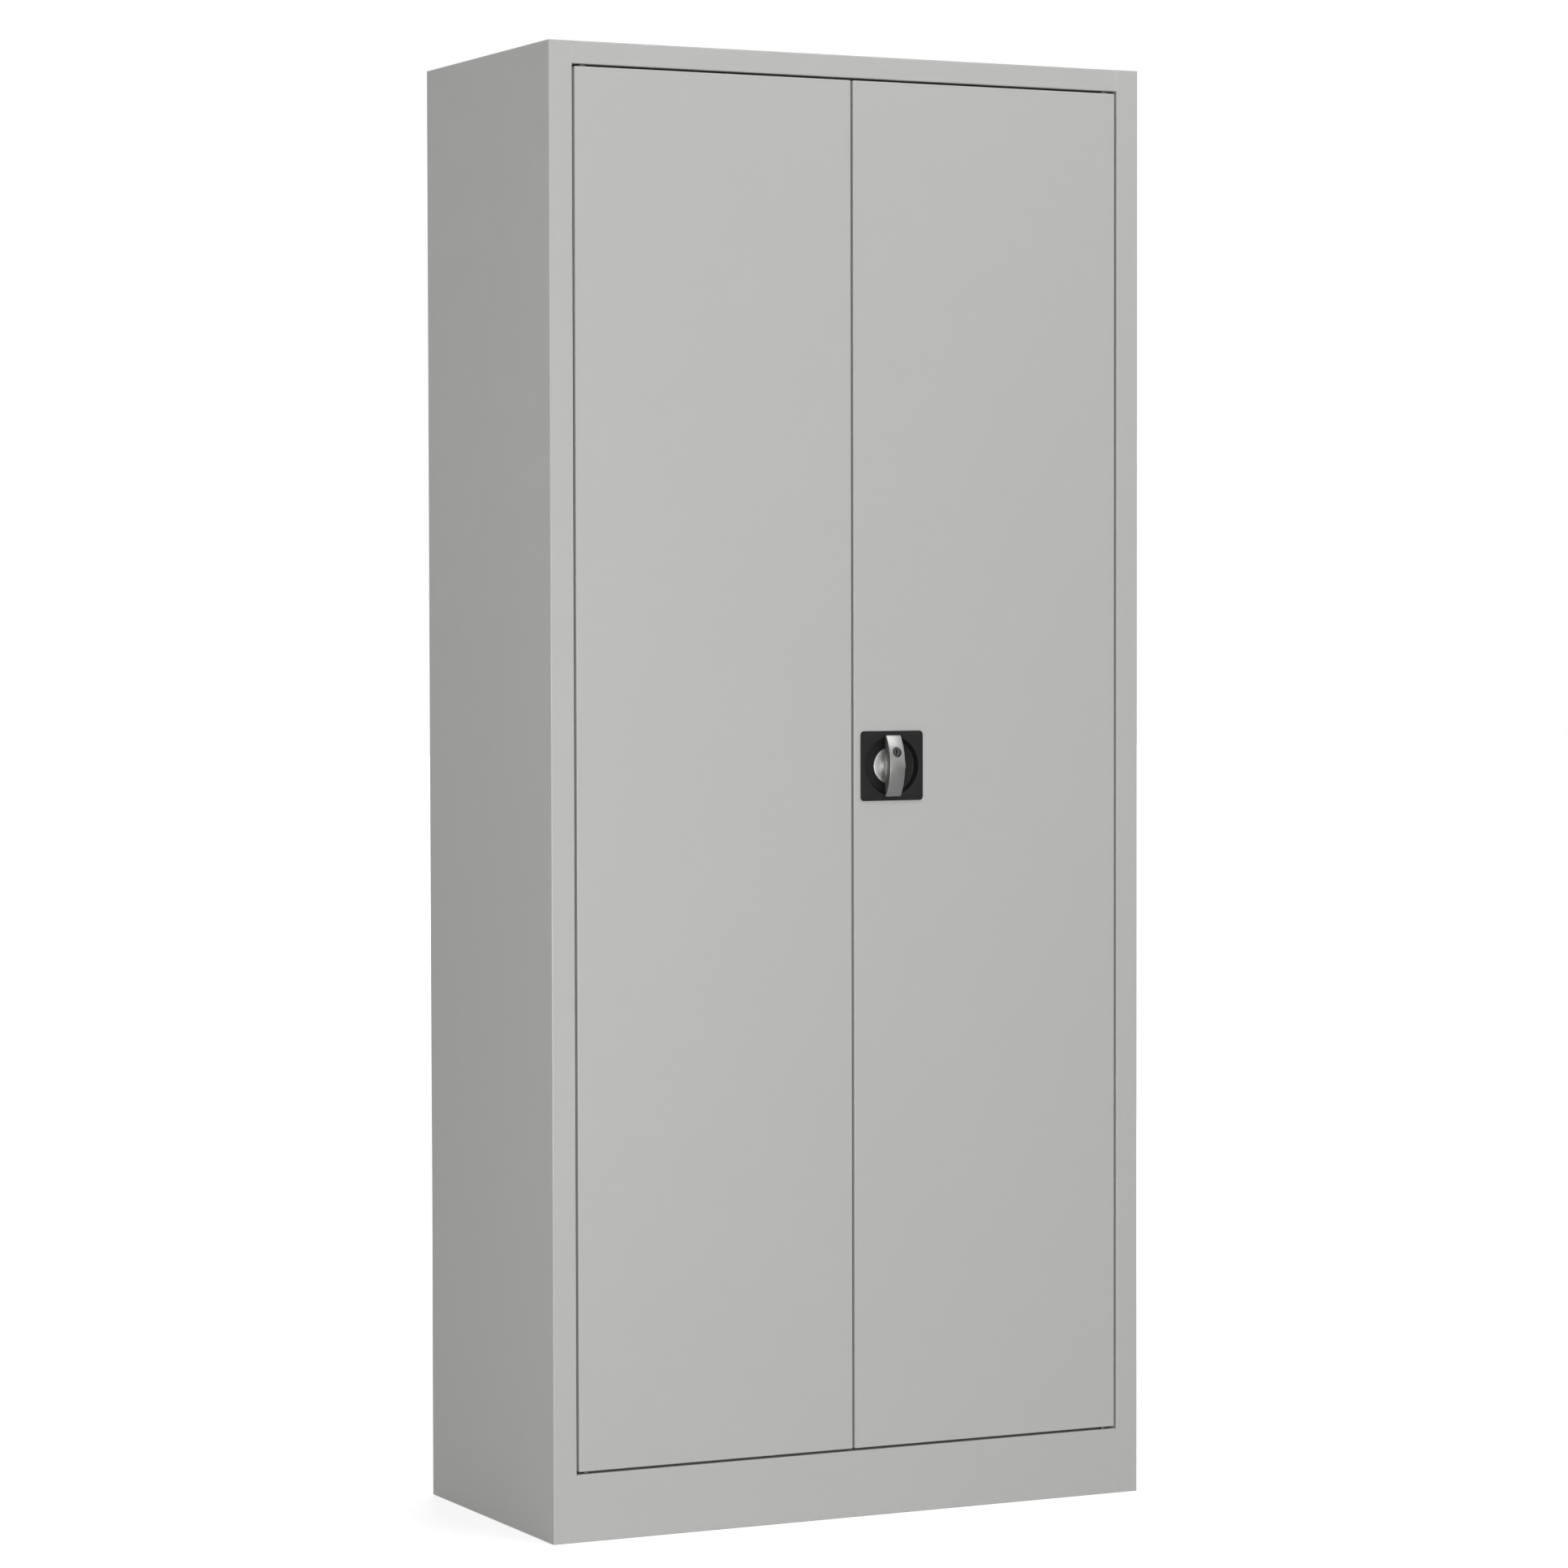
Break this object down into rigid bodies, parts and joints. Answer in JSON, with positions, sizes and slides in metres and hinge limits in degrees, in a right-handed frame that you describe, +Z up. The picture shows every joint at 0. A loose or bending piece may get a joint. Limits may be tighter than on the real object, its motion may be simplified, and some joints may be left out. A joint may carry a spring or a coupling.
{
  "type": "metal storage cabinet",
  "caption": "Tall sheet-steel cupboard with two inset hinged doors, adjustable shelves inside and a turning handle in a square black plate that drives a three-point latch.",
  "frame": {"origin": "centre of the bounding box in plan, handle included, on the floor", "axes": "+Z up, -Y out of the doors, +X to the right seen from the front"},
  "size_m": [0.8, 0.3976, 1.78],
  "materials": {
    "grey_coating": "light grey powder coat, satin, fine texture",
    "black_plastic": "black moulded plastic, fine matt texture",
    "cast_metal": "satin plated die-cast metal",
    "cylinder_steel": "dark satin steel",
    "zinc_plate": "zinc-plated steel",
    "white_nylon": "natural nylon",
    "soft_rubber": "black rubber"
  },
  "bodies": {
    "carcass": {"side_panel_left": "grey_coating", "side_panel_right": "grey_coating", "back_panel": "grey_coating", "top_panel": "grey_coating", "floor_panel": "grey_coating", "plinth_front": "grey_coating", "shelf_upright_front_left": "grey_coating", "shelf_upright_front_right": "grey_coating", "shelf_upright_rear_left": "grey_coating", "shelf_upright_rear_right": "grey_coating", "shelf_1": "grey_coating", "shelf_1_clip_front_left": "zinc_plate", "shelf_1_clip_front_right": "zinc_plate", "shelf_1_clip_rear_left": "zinc_plate", "shelf_1_clip_rear_right": "zinc_plate", "shelf_2": "grey_coating", "shelf_2_clip_front_left": "zinc_plate", "shelf_2_clip_front_right": "zinc_plate", "shelf_2_clip_rear_left": "zinc_plate", "shelf_2_clip_rear_right": "zinc_plate", "shelf_3": "grey_coating", "shelf_3_clip_front_left": "zinc_plate", "shelf_3_clip_front_right": "zinc_plate", "shelf_3_clip_rear_left": "zinc_plate", "shelf_3_clip_rear_right": "zinc_plate", "shelf_4": "grey_coating", "shelf_4_clip_front_left": "zinc_plate", "shelf_4_clip_front_right": "zinc_plate", "shelf_4_clip_rear_left": "zinc_plate", "shelf_4_clip_rear_right": "zinc_plate", "hinge_pin_bottom_left": "zinc_plate", "door_buffer_bottom_left": "soft_rubber", "hinge_pin_bottom_right": "zinc_plate", "door_buffer_bottom_right": "soft_rubber", "hinge_pin_top_left": "zinc_plate", "door_buffer_top_left": "soft_rubber", "hinge_pin_top_right": "zinc_plate", "door_buffer_top_right": "soft_rubber"},
    "left_door": {"door_panel_left": "grey_coating", "door_stiffener_left": "grey_coating", "hinge_bush_bottom_left": "white_nylon", "hinge_bush_top_left": "white_nylon"},
    "right_door": {"door_panel_right": "grey_coating", "door_stiffener_right": "grey_coating", "hinge_bush_bottom_right": "white_nylon", "hinge_bush_top_right": "white_nylon", "lock_plate": "black_plastic", "lock_bridge": "zinc_plate", "ring_nut": "zinc_plate", "rod_guide_top": "white_nylon", "rod_guide_bottom": "white_nylon"},
    "handle": {"handle_grip": "cast_metal", "crank_disc": "zinc_plate", "latch_tongue": "zinc_plate", "spindle_screw": "zinc_plate"},
    "key_core": {"lock_cylinder": "cylinder_steel"},
    "upper_rod": {"rod_top": "zinc_plate"},
    "lower_rod": {"rod_bottom": "zinc_plate"}
  },
  "joints": [
    {"name": "left_door_hinge", "type": "hinge", "parent": "carcass", "child": "left_door", "pos_m": [-0.355, -0.17325, 0.0845], "axis": [0, 0, -1], "range_deg": [0, 110]},
    {"name": "right_door_hinge", "type": "hinge", "parent": "carcass", "child": "right_door", "pos_m": [0.355, -0.17325, 0.0845], "axis": [0, 0, 1], "range_deg": [0, 110]},
    {"name": "handle_turn", "type": "hinge", "parent": "right_door", "child": "handle", "pos_m": [0.0527, -0.18125, 0.919], "axis": [0, -1, 0], "range_deg": [0, 90]},
    {"name": "key_turn", "type": "hinge", "parent": "handle", "child": "key_core", "pos_m": [0.0527, -0.18125, 0.936], "axis": [0, -1, 0], "range_deg": [0, 90]},
    {"name": "upper_rod_slide", "type": "slide", "parent": "right_door", "child": "upper_rod", "axis": [0, 0, 1], "range_m": [0, 0.02122]},
    {"name": "lower_rod_slide", "type": "slide", "parent": "right_door", "child": "lower_rod", "axis": [0, 0, -1], "range_m": [0, 0.02122]}
  ],
  "couplings": [
    {"joint": "upper_rod_slide", "follows": "handle_turn", "m_per_rad": 0.013505},
    {"joint": "lower_rod_slide", "follows": "handle_turn", "m_per_rad": 0.013505}
  ]
}
